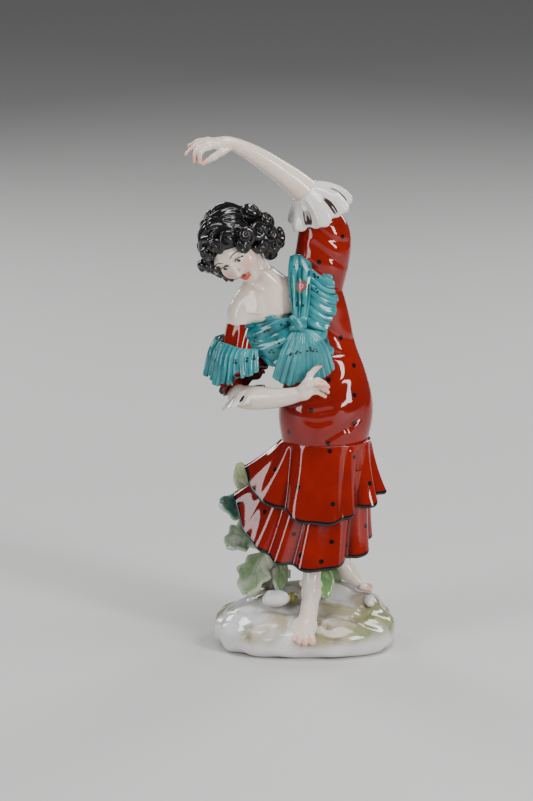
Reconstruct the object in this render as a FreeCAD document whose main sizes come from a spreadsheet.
"""Glazed porcelain flamenco dancer, built as the castings that a potter lutes together before the firing.

Frame: +Z up, the dancer faces -Y, the origin is the middle of the flat underside of the base. Millimetres.
Every size is a cell of the sheet "dims". A loft's sections are rows of (x, y, z, half width, half depth):
the centre of an ellipse that stands square to the line through the centres, and its two half axes.
A ruffle's rings are rows of (x, y, z, half width, half depth, lean, pitch, fold depth): an ellipse tipped
by lean about Y and by pitch about X, in degrees, that waves in and out by the fold depth.
"""

import FreeCAD, Part
import math
import os
import Sketcher

Vector = FreeCAD.Vector
Rotation = FreeCAD.Rotation
X_AXIS, Y_AXIS, Z_AXIS = Vector(1, 0, 0), Vector(0, 1, 0), Vector(0, 0, 1)

doc = FreeCAD.newDocument("flamenco_dancer")
sheet = doc.addObject("Spreadsheet::Sheet", "dims")
nodes = []  # the finished sub-parts, in the order they are luted together


# ---------------------------------------------------------------- the sheet

DRIVING = {
    "cast_wall": 2.6,  # slip-cast wall of the dress
    "vent_radius": 2.0,  # firing vents in the underside
    "vent_offset": 22.0,  # each vent's distance from the middle of the base
    "leaf_thickness": 2.2,
    "leaf_edge": 0.5,  # rounding of a leaf's rim
    "flounce_wall": 2.4,
    "flounce_folds": 11,  # waves round each flounce's hem
    "cuff_folds": 7,
    "raised_cuff_wall": 2.0,
    "lowered_cuff_wall": 1.6,
    "sleeve_wall": 2.0,
}


def cell(alias, value):
    """Writes one number to the sheet under a name, and returns the expression that reads it."""
    row = cell.row = getattr(cell, "row", 0) + 1
    sheet.set(f"A{row}", alias)
    sheet.set(f"B{row}", str(value))
    sheet.setAlias(f"B{row}", alias)
    return f"dims.{alias}"


for alias, value in DRIVING.items():
    cell(alias, value)
doc.recompute([sheet])


def size(alias):
    """One number of the sheet, for the shapes that are worked out here."""
    return float(sheet.get(alias))


def bind(target, label, values):
    """Binds each property of target to a new cell, named after the label and the property."""
    for name, value in values.items():
        word = name.replace("Placement.Base.", "at_").replace(".", "_").lower()
        target.setExpression(name, cell(f"{label}_{word}", value))


def at(x, y, z):
    return {"Placement.Base.x": x, "Placement.Base.y": y, "Placement.Base.z": z}


# ---------------------------------------------------------------- building blocks


def keep(label, made):
    """Names a finished sub-part. The label is its file's name."""
    made.Label = label
    nodes.append(made)
    return made


def ellipse(label, row, normal, side=X_AXIS):
    """An ellipse whose half width lies along side, as nearly as the normal allows."""
    x, y, z, half_width, half_depth = row
    across = (side - normal * side.dot(normal)).normalize()
    if half_width < half_depth:
        across = normal.cross(across)
    made = doc.addObject("Part::Ellipse", label)
    made.Placement.Rotation = Rotation(across, normal.cross(across), normal, "ZXY")
    sizes = {"MajorRadius": max(half_width, half_depth), "MinorRadius": min(half_width, half_depth)}
    bind(made, label, {**sizes, **at(x, y, z)})
    return made


def loft(label, rows, side=X_AXIS, normal=None):
    """A solid skinned over ellipses along the line through their centres."""
    points = [Vector(*row[:3]) for row in rows]
    sections = []
    for i, row in enumerate(rows):
        along = normal or points[min(i + 1, len(rows) - 1)] - points[max(i - 1, 0)]
        sections.append(ellipse(f"{label}_s{i}", row, Vector(along).normalize(), side))
    made = doc.addObject("Part::Loft", label)
    made.Sections = sections
    made.Solid = True
    made.Ruled = False
    return made


def hollow(label, outer, first, last, wall, shifts):
    """The space inside a loft between two of its sections, each smaller by the wall.

    shifts moves the end sections along Z, so that the space stops short of an end or runs out of it.
    """
    made = doc.addObject("Part::Loft", label)
    sections = []
    for i in range(first, last + 1):
        outside = doc.getObject(f"{outer}_s{i}")
        inside = doc.addObject("Part::Ellipse", f"{label}_s{i}")
        inside.Placement = outside.Placement
        for radius in ("MajorRadius", "MinorRadius"):
            inside.setExpression(radius, f"{outside.Name}.{radius} - dims.{wall} * 1 mm")
        shift = {first: shifts[0], last: shifts[1]}.get(i, 0)
        for axis in "xyz":
            moved = f" + {cell(f'{label}_s{i}_shift', shift)} * 1 mm" if axis == "z" and shift else ""
            inside.setExpression(f"Placement.Base.{axis}", f"{outside.Name}.Placement.Base.{axis}{moved}")
        sections.append(inside)
    made.Sections = sections
    made.Solid = True
    return made


def ellipsoid(label, centre, radii, rotation=Rotation()):
    """An ellipsoid with half axes radii along its own X, Y and Z."""
    made = doc.addObject("Part::Ellipsoid", label)
    made.Placement.Rotation = rotation
    made.Angle1, made.Angle2, made.Angle3 = -90, 90, 360
    bind(made, label, {"Radius2": radii[0], "Radius3": radii[1], "Radius1": radii[2], **at(*centre)})
    return made


def cylinder(label, centre, radius, height):
    made = doc.addObject("Part::Cylinder", label)
    bind(made, label, {"Height": height, **at(*centre)})
    made.setExpression("Radius", radius)
    return made


def fuse(label, shapes):
    made = doc.addObject("Part::MultiFuse", label)
    made.Shapes = shapes
    return made


def shape_of(made):
    """The object's shape, worked out now if it isn't yet."""
    if made.Shape.isNull():
        doc.recompute([made])
    return made.Shape


def cut(label, base, *tools):
    """base with every tool that its box meets taken away, one after the other."""
    for tool in tools:
        if not shape_of(base).BoundBox.intersect(shape_of(tool).BoundBox):
            continue
        made = doc.addObject("Part::Cut", f"{label}_less_{tool.Name}")
        made.Base = base
        made.Tool = tool
        base = made
    return base


def overlap(label, first, second):
    """What two shapes have in common."""
    made = doc.addObject("Part::Common", label)
    made.Base = first
    made.Tool = second
    return made


RING = ("x", "y", "z", "half_width", "half_depth", "lean", "pitch", "fold_depth")


def rings_on_sheet(label, rings):
    """Writes the rings' numbers to the sheet, and reads them back as dictionaries."""
    for i, ring in enumerate(rings):
        for name, value in zip(RING, ring):
            cell(f"{label}_r{i}_{name}", value)
    doc.recompute([sheet])
    return [{name: size(f"{label}_r{i}_{name}") for name in RING} for i in range(len(rings))]


def wavy_wire(ring, origin, folds, wall, points_per_fold=8):
    """A closed curve along the ring, the wall inside it, with its waves. Its points are taken from origin."""
    turn = Rotation(Y_AXIS, ring["lean"]).multiply(Rotation(X_AXIS, ring["pitch"]))
    centre = Vector(ring["x"], ring["y"], ring["z"]) - origin
    count = points_per_fold * folds
    points = []
    for i in range(count):
        angle = 2 * math.pi * i / count
        out = ring["fold_depth"] * math.cos(folds * angle) - wall
        across = math.cos(angle) * (ring["half_width"] + out)
        along = math.sin(angle) * (ring["half_depth"] + out)
        points.append(centre + turn.multVec(Vector(across, along, 0)))
    curve = Part.BSplineCurve()
    curve.interpolate(points, PeriodicFlag=True)
    return Part.Wire(curve.toShape())


def wavy_form(label, rings, folds, wall):
    """A solid skinned over wavy rings, each the wall inside its own ring."""
    origin = Vector(rings[0]["x"], rings[0]["y"], rings[0]["z"])
    made = doc.addObject("Part::Feature", label)
    made.Shape = Part.makeLoft([wavy_wire(ring, origin, folds, wall) for ring in rings], True, False)
    made.Placement.Base = origin
    return made


def ruffle(label, rows, folds, wall):
    """A wavy shell, and the filled forms of its outside and its inside, which trim what meets it."""
    rings = rings_on_sheet(label, rows)
    form = wavy_form(f"{label}_form", rings, folds, 0.0)
    inside = wavy_form(f"{label}_inside", rings, folds, size(wall))
    return cut(f"{label}_shell", form, inside), form, inside


def sketched_leaf(label, stalk, tip, width, facing):
    """A pointed oval leaf, cut from a rolled slab: a sketch of two arcs, padded, its rim rounded."""
    along = Vector(*tip) - Vector(*stalk)
    length = along.Length
    up = (Vector(*facing) - along * Vector(*facing).dot(along) / length**2).normalize()
    body = doc.addObject("PartDesign::Body", f"{label}_body")
    plane = next(f for f in body.Origin.OriginFeatures if f.Role == "XY_Plane")
    sketch = body.newObject("Sketcher::SketchObject", f"{label}_outline")
    sketch.AttachmentSupport = (plane, "")
    sketch.MapMode = "FlatFace"
    bulge = (length**2 / 4 - width**2 / 4) / width  # from the leaf's middle to an arc's centre
    radius = bulge + width / 2
    reach = math.atan2(length / 2, bulge)
    for sign in (1, -1):
        middle = Vector(-sign * bulge, length / 2, 0)
        start = 0 if sign > 0 else math.pi
        arc = Part.ArcOfCircle(Part.Circle(middle, Z_AXIS, radius), start - reach, start + reach)
        sketch.addGeometry(arc, False)
    sketch.addConstraint(Sketcher.Constraint("Coincident", 0, 1, 1, 2))
    sketch.addConstraint(Sketcher.Constraint("Coincident", 0, 2, 1, 1))
    sketch.addConstraint(Sketcher.Constraint("Coincident", 0, 1, -1, 1))
    sketch.addConstraint(Sketcher.Constraint("PointOnObject", 0, 2, -2))
    sketch.addConstraint(Sketcher.Constraint("DistanceY", 0, 1, 0, 2, length))
    sketch.setExpression(f"Constraints[{sketch.ConstraintCount - 1}]", cell(f"{label}_length", length))
    sketch.addConstraint(Sketcher.Constraint("Equal", 0, 1))
    sketch.addConstraint(Sketcher.Constraint("Radius", 0, radius))
    sketch.setExpression(f"Constraints[{sketch.ConstraintCount - 1}]", cell(f"{label}_arc_radius", radius))
    pad = body.newObject("PartDesign::Pad", f"{label}_pad")
    pad.Profile = sketch
    pad.setExpression("Length", "dims.leaf_thickness")
    doc.recompute([sheet, sketch, pad, body])
    rim = body.newObject("PartDesign::Fillet", f"{label}_rim")
    flat = [f"Edge{i + 1}" for i, edge in enumerate(pad.Shape.Edges) if edge.BoundBox.ZLength < 0.01]
    rim.Base = (pad, flat)
    rim.setExpression("Radius", "dims.leaf_edge")
    body.Tip = rim
    body.Placement.Rotation = Rotation(along.cross(up), along, up, "YZX")
    bind(body, label, at(*stalk))
    return body


# ---------------------------------------------------------------- base, stump and plants

BASE_ROWS = [
    (0, 0, 0, 43, 37),
    (0, 0, 2.5, 45.3, 38.8),
    (0, 0, 9, 46.2, 38.8),
    (0, 1.5, 15, 43.4, 34.5),
    (1, 5, 20.5, 37.5, 27.5),
    (2, 8, 24.8, 28, 18),
    (3, 10, 26.8, 15, 9),
]
BASE_HOLLOW_ROWS = [
    (0, 0, 4, 38, 32),
    (0, 0, 9, 41.5, 34),
    (0, 2, 14, 38, 29),
    (1, 5, 18, 30, 20),
    (2, 8, 20.3, 16, 10),
]


def build_base():
    """A hollow mound with a flat, unglazed underside and two firing vents."""
    outer = loft("base_outer", BASE_ROWS, normal=Z_AXIS)
    inner = loft("base_hollow", BASE_HOLLOW_ROWS, normal=Z_AXIS)
    floor = BASE_HOLLOW_ROWS[0][2]
    vents = []
    for word, sign in (("left", -1), ("right", 1)):
        centre = (sign * size("vent_offset"), 0, -floor / 2)
        vents.append(cylinder(f"vent_{word}", centre, "dims.vent_radius", 2 * floor))
    keep("base_casting", cut("base_casting", outer, inner, *vents))
    return outer


STUMP_ROWS = [
    (-17, 14, 19, 13, 10),
    (-18, 15.5, 32, 9.5, 8.5),
    (-19, 17, 48, 8.4, 8),
    (-21, 19, 66, 7.5, 7),
    (-23, 20, 84, 6, 6),
]

# Each leaf: where its stalk starts, its tip, its width, and the way that its upper face looks.
LEAVES = {
    "leaf_upper_left": ((-25, 13, 72), (-34, 6, 94.5), 14, (-0.4, -0.9, 0.2)),
    "leaf_middle_left": ((-23, 12, 66), (-45, 3, 74), 16, (-0.1, -0.8, 0.5)),
    "leaf_lower_left": ((-20, 10, 58), (-42, 1, 51), 18, (-0.2, -0.8, 0.5)),
    "leaf_ground_left": ((-20, 7, 45), (-31, -8, 25.5), 19, (-0.3, -0.7, 0.6)),
    "leaf_ground_middle": ((-13, 8, 44), (-13, -8, 27.5), 9, (0.1, -0.7, 0.7)),
    "leaf_between_feet": ((6, 6, 42), (11, -8, 23), 13, (0.3, -0.8, 0.5)),
    "leaf_ground_right": ((12, 15, 27), (23, 12, 42), 13, (0.2, -0.9, 0.4)),
    "leaf_stump_back": ((-20, 24, 44), (-30, 32, 62), 14, (-0.2, 0.9, 0.3)),
    "leaf_stump_right": ((-14, 23, 34), (0, 30, 45), 13, (0.2, 0.9, 0.4)),
}

# Each pebble: its centre, its half axes, and its turn about Z, X and Y.
PEBBLES = {
    "pebble_left": ((-15, -13, 25.5), (7.2, 5.4, 4.8), (0, -18, 12)),
    "pebble_right": ((33, -4, 20.5), (3.4, 8, 3.4), (0, 24, 20)),
    "pebble_bud": ((-7.2, -11.5, 25.6), (3.4, 3, 3.2), (0, 0, 0)),
}


def tumbled(turn, rise, roll):
    return Rotation(Z_AXIS, turn).multiply(Rotation(X_AXIS, rise)).multiply(Rotation(Y_AXIS, roll))


def build_plants(ground, skirt):
    stump = loft("stump_outer", STUMP_ROWS)
    keep("tree_stump", cut("tree_stump", stump, ground, skirt))
    for label, leaf in LEAVES.items():
        keep(label, cut(label, sketched_leaf(label, *leaf), stump, ground, skirt))
    for label, (centre, radii, turns) in PEBBLES.items():
        stone = ellipsoid(f"{label}_stone", centre, radii, tumbled(*turns))
        others = [ground] if label != "pebble_bud" else [ground, doc.getObject("pebble_left_stone")]
        keep(label, cut(label, stone, *others))


# ---------------------------------------------------------------- dress

GOWN_ROWS = [
    (10.3, -2, 103, 23, 18.5),
    (10.5, -2, 117, 24.4, 19),
    (10.6, -1.5, 128, 24, 18.5),
    (10.5, -1, 142, 20.3, 15),
    (9, -0.5, 156, 16.8, 12),
    (5.5, -1, 170, 17, 12),
    (0, -2, 181, 20, 13),
    (-4, -2.4, 186, 19.6, 11.6),
]

GOWN_OVERRUN = 4  # the hollow runs out of the gown's open lower end by this much

UPPER_RINGS = [
    (10.3, -2, 109, 23.2, 18.7, 0, 0, 0.0),
    (9, -2.5, 99, 26.5, 20.5, 2, 6, 0.4),
    (5, -3.5, 79, 36, 25, 8, 20, 1.7),
]
LOWER_RINGS = [
    (7.5, -2.5, 93, 26.5, 19.5, 2, 6, 0.3),
    (4, -3, 77, 30.5, 22, 7, 16, 0.9),
    (-2, -4, 57, 35, 25, 14, 24, 1.7),
]
# The slab across the skirt lies along the hem, and the legs are trimmed to the space from it upwards.
FLOOR_ROWS = [
    (-1.3, -5.2, 59.7, 36, 26),
    (-0.7, -6.4, 62.3, 36, 26),
]
ABOVE_FLOOR_ROWS = [
    (-1.3, -5.2, 59.7, 36, 26),
    (3.6, -14.2, 79.2, 36, 26),
]


def build_dress():
    """A hollow sheath, two flounces below it, and the floor that closes the hollow and takes the legs."""
    folds = int(size("flounce_folds"))
    gown = loft("gown_outer", GOWN_ROWS)
    inside = hollow("gown_hollow", "gown_outer", 0, 7, "cast_wall", (-GOWN_OVERRUN, -size("cast_wall")))
    upper, upper_form, _ = ruffle("upper_flounce", UPPER_RINGS, folds, "flounce_wall")
    lower, lower_form, lower_inside = ruffle("lower_flounce", LOWER_RINGS, folds, "flounce_wall")
    keep("gown_casting", cut("gown_casting", gown, inside, upper))
    keep("upper_flounce", upper)
    keep("lower_flounce", cut("lower_flounce", lower, upper))
    keep("skirt_floor", overlap("skirt_floor_form", loft("floor_slab", FLOOR_ROWS), lower_inside))
    skirt = fuse("skirt_form", [upper_form, lower_form])
    return gown, skirt, loft("above_floor", ABOVE_FLOOR_ROWS)


# ---------------------------------------------------------------- legs

STANDING_LEG = [
    (5.4, -4, 68, 7.6, 7.6),
    (3.8, -9, 50, 5.8, 6),
    (2.8, -13, 38, 4.3, 4.8),
    (2.4, -19, 30, 4.8, 5.6),
    (0.8, -26, 23, 5.7, 4.6),
    (-1, -32.6, 15.4, 6.6, 3.6),
    (-2.2, -38.4, 8.8, 5.6, 2.2),
]
REAR_LEG = [
    (10, 2.6, 68, 7.2, 7.2),
    (14, 4.5, 50, 5.6, 5.8),
    (17.5, 6, 40, 4.4, 4.8),
    (22, 6.6, 33.5, 4.3, 4.4),
    (26.5, 6.8, 28.5, 4.6, 3),
    (29.5, 6.8, 26.5, 4, 2),
]


def build_legs(ground, above_floor):
    """Solid-cast legs, each luted to the skirt's floor and to the mound."""
    for label, rows in (("standing_leg", STANDING_LEG), ("rear_leg", REAR_LEG)):
        keep(label, cut(label, loft(f"{label}_form", rows), ground, above_floor))


# ---------------------------------------------------------------- bust, head and hair

NECK_ROWS = [
    (-8, -2.6, 180, 22.5, 13),
    (-11, -3, 187, 20.5, 11.6),
    (-14, -4, 193, 13.5, 9.5),
    (-17.5, -5, 198, 7.6, 7.4),
    (-22, -6.5, 204, 6.2, 6.4),
    (-27, -7.5, 210, 6.4, 6.6),
]
BARE_SHOULDER = ((-30.5, -4, 173), (10, 9.4, 11.5), Rotation(Z_AXIS, 180))
HEAD_CENTRE = (-35, -10, 211)
FACE_FORWARD = Vector(-0.30, -0.92, -0.24)
HEAD_UP = Vector(-0.58, 0.05, 0.81)


def head_turn():
    """The head's own frame: X to the dancer's left, Y out of the back of the head, Z through the crown."""
    back = Vector(-FACE_FORWARD).normalize()
    up = (HEAD_UP - back * HEAD_UP.dot(back)).normalize()
    return Rotation(back.cross(up), back, up, "YZX")


def in_head(x, y, z):
    """A point of the head's own frame, given in millimetres from the head's centre."""
    point = Vector(*HEAD_CENTRE) + head_turn().multVec(Vector(x, y, z))
    return (point.x, point.y, point.z)


# Curls: centre in the head's frame, and the curl's radius.
CURLS_RIGHT = [
    ((-17, -2, 6), 5.5),
    ((-18.5, 2, -2), 5.5),
    ((-17, 4, -10), 5),
    ((-13, 9, -14), 5),
    ((-15, -5, -3), 4),
]
CURLS_LEFT = [
    ((17, -1, 7), 6),
    ((19, 3, -1), 6.5),
    ((18, 6, -10), 6.5),
    ((13, 11, -15), 6),
    ((21, 8, -6), 5.5),
]
CURLS_FRINGE = [
    ((-8, -14.5, 9), 4.6),
    ((0, -15.5, 12.5), 4.8),
    ((8, -14, 11), 4.4),
]


def build_bust(gown):
    """Neck and bare shoulders, the head, and the hair built up over it in slip."""
    shoulder = ellipsoid("bare_shoulder", *BARE_SHOULDER)
    bust = fuse("bust_form", [loft("neck_form", NECK_ROWS), shoulder])
    turn = head_turn()
    skull = ellipsoid("skull", in_head(0, 1, 3), (13.2, 15.5, 14.5), turn)
    jaw = ellipsoid("jaw", in_head(0, -4.5, -7), (9.6, 9.5, 11), turn)
    head = fuse("head_form", [skull, jaw])
    keep("neck_and_shoulders", cut("neck_and_shoulders", bust, gown, head))
    keep("head_casting", head)
    cap = ellipsoid("hair_form", in_head(0, 3.5, 5.5), (17, 18, 16.5), turn)
    face = ellipsoid("face_opening", in_head(0, -17, -6), (12.5, 12, 16), turn)
    keep("hair_casting", cut("hair_casting", cap, head, face, bust))
    quarter_turn = turn.multiply(Rotation(Z_AXIS, 90))  # keeps a ball's seam out of its neighbours
    for label, curls, ball_turn in (
        ("hair_curls_right", CURLS_RIGHT, turn),
        ("hair_curls_left", CURLS_LEFT, turn),
        ("hair_fringe", CURLS_FRINGE, quarter_turn),
    ):
        balls = []
        for i, (centre, radius) in enumerate(curls):
            balls.append(ellipsoid(f"{label}_{i}", in_head(*centre), (radius,) * 3, ball_turn))
        keep(label, cut(label, fuse(f"{label}_form", balls), cap, head, bust))
    return bust, cap


# ---------------------------------------------------------------- arms

RAISED_SLEEVE = [
    (5, 0, 188, 13, 12),
    (8, 0, 201, 14, 12.5),
    (9.4, 0, 213, 13.6, 11.5),
    (8.2, 0, 223, 11.4, 10),
    (4.5, 0, 231, 8.6, 8.2),
]
RAISED_FOREARM = [
    (3.5, 0, 235, 7.6, 7.6),
    (-3, -1, 241.5, 7, 7),
    (-11, -2, 248, 6.1, 6.1),
    (-20, -3.5, 255, 5.4, 5.4),
    (-29, -5, 261, 4.4, 4.6),
    (-36.5, -6, 264.8, 3.6, 4.2),
]
RAISED_PALM = ((-43, -6.5, 265), (8.6, 4.8, 3.4))
# Fingers: points of the bones, and the radius at each.
RAISED_FINGERS = [
    [(-48, -4, 265.6, 1.8), (-54, -3.2, 265.2, 1.5), (-59.5, -3, 263, 1.1)],
    [(-48, -6, 265.4, 1.9), (-55, -6.6, 263.8, 1.5), (-61, -7, 259, 1.1)],
    [(-48, -8.2, 265, 1.9), (-55.6, -9.8, 261.8, 1.5), (-56.4, -10, 255.6, 1.1)],
    [(-46.5, -9.6, 264.6, 1.9), (-53.4, -11.5, 261, 1.5), (-53.6, -11.4, 255.4, 1.1)],
    [(-39.5, -8.6, 262.6, 2.1), (-45.5, -11, 258.4, 1.8), (-51.8, -11.3, 254.6, 1.2)],
]
RAISED_CUFF = [
    (-0.5, -0.5, 237, 8.4, 8.4, -50, 0, 0.3),
    (3.6, -0.3, 232.6, 14.4, 12.4, -38, 0, 1.2),
    (6.8, 0, 226, 17.6, 15, -26, 0, 1.6),
]

LOWERED_SLEEVE = [
    (-31, -4, 171, 9.6, 9.4),
    (-32.5, -5, 164, 10, 10),
    (-33.5, -6.5, 156, 10, 10),
    (-33, -9, 146, 11, 11),
    (-31.5, -12, 137, 13, 12),
]
LOWERED_FOREARM = [
    (-36.5, -10.5, 134, 6.4, 6.6),
    (-29, -15.5, 134.5, 7, 7),
    (-20, -20.5, 135.6, 6, 6),
    (-12, -24, 136.4, 4.7, 4.9),
    (-4.5, -26.6, 137.6, 3.8, 4.2),
]
LOWERED_PALM = ((1.6, -28.2, 140.6), (6.6, 3.2, 5))
LOWERED_FINGERS = [
    [(1.5, -26.6, 145.5, 1.8), (3.4, -26.4, 149.6, 1.6), (7, -26, 152.6, 1.2)],
    [(4.8, -29.2, 144.2, 1.7), (8.6, -30.6, 142.4, 1.5), (11.2, -31, 138.6, 1.1)],
    [(5.6, -28.2, 142.2, 1.7), (9.4, -28.8, 140.6, 1.5), (11.6, -28.8, 137.4, 1.1)],
    [(5.4, -27, 140, 1.6), (8.8, -26.8, 139, 1.4), (11, -26.6, 136.2, 1)],
    [(-1.5, -30, 143, 2), (2.8, -32.2, 143.4, 1.6), (7.2, -32, 140.6, 1.2)],
]
LOWERED_CUFF = [
    (-32.6, -10.4, 141, 8.2, 8.2, 10, -14, 0.2),
    (-32.2, -11.8, 136.4, 9.4, 9, 12, -14, 0.6),
    (-31.8, -13.6, 131, 11.2, 10.4, 14, -14, 1.1),
]


def hand(label, palm, fingers, turn, wrist):
    centre, radii = palm
    made = ellipsoid(f"{label}_palm", centre, radii, turn)
    for i, bones in enumerate(fingers):
        rows = [(x, y, z, r, r) for x, y, z, r in bones]
        finger = loft(f"{label}_finger{i}", rows, side=Vector(0.2, 1, 0.3).normalize())
        made = fuse(f"{label}_with_finger{i}", [made, finger])
    keep(label, cut(label, made, wrist))


def build_arms(gown, bust):
    """Sleeves, cuffs, forearms and hands. Each forearm is luted into its sleeve under the cuff."""
    folds = int(size("cuff_folds"))
    forearm = loft("raised_arm_form", RAISED_FOREARM, side=Y_AXIS)
    sleeve = loft("raised_sleeve_form", RAISED_SLEEVE)
    keep("raised_sleeve", cut("raised_sleeve", sleeve, gown, bust, forearm))
    keep("raised_forearm", forearm)
    cuff, *_ = ruffle("raised_cuff", RAISED_CUFF, folds, "raised_cuff_wall")
    keep("raised_cuff", cut("raised_cuff", cuff, sleeve, forearm))
    hand("raised_hand", RAISED_PALM, RAISED_FINGERS, Rotation(Y_AXIS, 6), forearm)

    lowered = loft("lowered_arm_form", LOWERED_FOREARM, side=Z_AXIS)
    upper_arm = loft("lowered_sleeve_form", LOWERED_SLEEVE)
    bell = hollow("lowered_sleeve_bell", "lowered_sleeve_form", 3, 4, "sleeve_wall", (0, -3))
    keep("lowered_sleeve", cut("lowered_sleeve", upper_arm, bell, gown, bust, lowered))
    keep("lowered_forearm", lowered)
    lace, *_ = ruffle("lowered_cuff", LOWERED_CUFF, folds, "lowered_cuff_wall")
    keep("lowered_cuff", cut("lowered_cuff", lace, upper_arm, lowered))
    hand("lowered_hand", LOWERED_PALM, LOWERED_FINGERS, Rotation(Y_AXIS, 130), lowered)
    return [sleeve, upper_arm]


# ---------------------------------------------------------------- shawl

SHAWL_WRAP = [
    (-16, -4.4, 181, 24.5, 14),
    (-14, -4.6, 175, 27.5, 16),
    (-11.6, -4.8, 166, 29, 17),
    (-9.4, -5, 156, 28, 16.4),
]
SHAWL_STRAP = [
    (-3, -7, 205, 5.5, 4.5),
    (-3, -13, 194, 6, 3.8),
    (-4, -17, 183, 4.6, 3.4),
    (-4.4, -18.6, 176, 3.4, 3),
]
SHAWL_KNOT = ((-3.6, -19.4, 173.5), (5.4, 4, 5.6))
SHAWL_TAIL_LEFT = [
    (-4.6, -20.4, 169.5, 3.4, 2.4),
    (-6, -21.6, 160, 5.8, 2.8),
    (-7.4, -21.6, 150, 8, 2.8),
    (-8.4, -20.6, 142.5, 8.6, 1.8),
]
SHAWL_TAIL_RIGHT = [
    (-1.6, -20, 170, 3, 2.4),
    (3, -20.4, 161, 5.6, 3),
    (7, -19, 151, 7.6, 3),
    (9, -18.2, 143.5, 6, 1.8),
]
SHAWL_SHOULDER_FRINGE = [
    (1.5, -9.5, 203.5, 5, 3.6),
    (5, -13.5, 193, 8.4, 3.8),
    (9, -15.8, 181, 8, 3.6),
    (10, -16.4, 169, 5, 2.2),
]
SHAWL_ARM_FRINGE = [
    (-36, -12, 160, 12, 7.2),
    (-37, -14, 150, 13, 8),
    (-37.5, -16, 140.5, 12.4, 7.4),
]
SHAWL_BACK = [
    (-6, 11, 190, 20, 3),
    (-3, 14, 176, 21, 3.4),
    (3, 15, 160, 14, 3.4),
    (7, 15.6, 147, 5, 2),
]


def build_shawl(gown, bust, cap, sleeves):
    """A shawl knotted on the chest: the wrap, the strap over one shoulder, the knot, tails and fringes."""
    under = [gown, bust, *sleeves]
    wrap = loft("wrap_form", SHAWL_WRAP)
    keep("shawl_wrap", cut("shawl_wrap", wrap, *under))
    strap = loft("strap_form", SHAWL_STRAP)
    keep("shawl_strap", cut("shawl_strap", strap, wrap, cap, *under))
    knot = ellipsoid("knot_form", *SHAWL_KNOT)
    keep("shawl_knot", cut("shawl_knot", knot, wrap, strap))
    done = [wrap, strap, knot]
    for label, rows in (
        ("shawl_tail_left", SHAWL_TAIL_LEFT),
        ("shawl_tail_right", SHAWL_TAIL_RIGHT),
        ("shawl_shoulder_fringe", SHAWL_SHOULDER_FRINGE),
        ("shawl_arm_fringe", SHAWL_ARM_FRINGE),
        ("shawl_back", SHAWL_BACK),
    ):
        form = loft(f"{label}_form", rows)
        keep(label, cut(label, form, *done, *under))
        done.append(form)


# ---------------------------------------------------------------- build, check and write


def check():
    """Stops if an object failed, or a sub-part isn't a valid solid."""
    doc.recompute()
    failed = [o.Name for o in doc.Objects if {"Invalid", "Error"} & set(o.State)]
    if failed:
        raise SystemExit(f"failed objects: {failed}")
    for node in nodes:
        shape = node.Shape
        if shape.isNull() or not shape.isValid() or not shape.Solids:
            raise SystemExit(f"{node.Label} is not a valid solid")


def write():
    os.makedirs("parts", exist_ok=True)
    for node in nodes:
        node.Shape.exportStep(f"parts/{node.Label}.step")
        print(f"{node.Label:24s} solids {len(node.Shape.Solids)}  volume {node.Shape.Volume:9.1f} mm3")


ground = build_base()
gown, skirt, above_floor = build_dress()
build_plants(ground, skirt)
build_legs(ground, above_floor)
bust, cap = build_bust(gown)
build_shawl(gown, bust, cap, build_arms(gown, bust))
check()
write()
